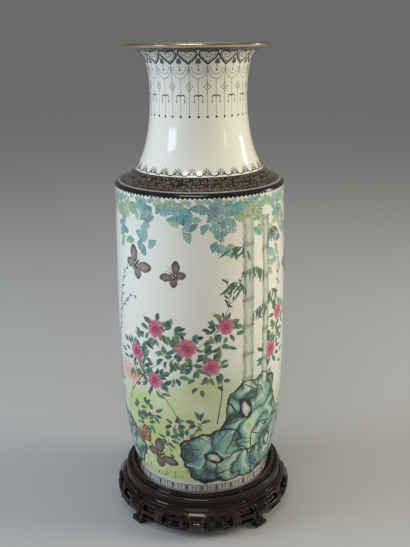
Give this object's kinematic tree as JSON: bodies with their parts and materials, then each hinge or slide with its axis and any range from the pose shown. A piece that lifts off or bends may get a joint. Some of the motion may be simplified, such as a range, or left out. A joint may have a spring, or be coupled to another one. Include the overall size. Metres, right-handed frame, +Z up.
{
  "type": "baluster vase on stand",
  "caption": "Tall glazed porcelain vase with a flared neck and painted garden decoration, standing loose in a carved hardwood stand with cabriole legs.",
  "frame": {"origin": "on the table, under the middle of the stand", "axes": "+Z up along the vase's axis, -Y towards the front of the picture, +X to its right"},
  "size_m": [0.258, 0.258, 0.6543],
  "materials": {
    "porcelain": "glossy white glaze with overglaze enamels and a gilt rim",
    "rosewood": "polished dark red-brown hardwood",
    "plain_wood": "plain planed hardwood"
  },
  "bodies": {
    "stand": {"floor_board": "plain_wood", "ring_segment_1": "rosewood", "ring_segment_2": "rosewood", "ring_segment_3": "rosewood", "ring_segment_4": "rosewood", "ring_spline_1": "plain_wood", "ring_spline_2": "plain_wood", "ring_spline_3": "plain_wood", "ring_spline_4": "plain_wood", "apron_panel_1": "rosewood", "apron_panel_2": "rosewood", "apron_panel_3": "rosewood", "apron_panel_4": "rosewood", "leg_1": "rosewood", "leg_2": "rosewood", "leg_3": "rosewood", "leg_4": "rosewood", "leg_dowel_1": "plain_wood", "leg_dowel_2": "plain_wood", "leg_dowel_3": "plain_wood", "leg_dowel_4": "plain_wood"},
    "vase": {"vase_body": "porcelain"}
  },
  "joints": [
    {"name": "vase_lift", "type": "slide", "parent": "stand", "child": "vase", "axis": [0, 0, 1], "range_m": [0, 0.1]}
  ]
}
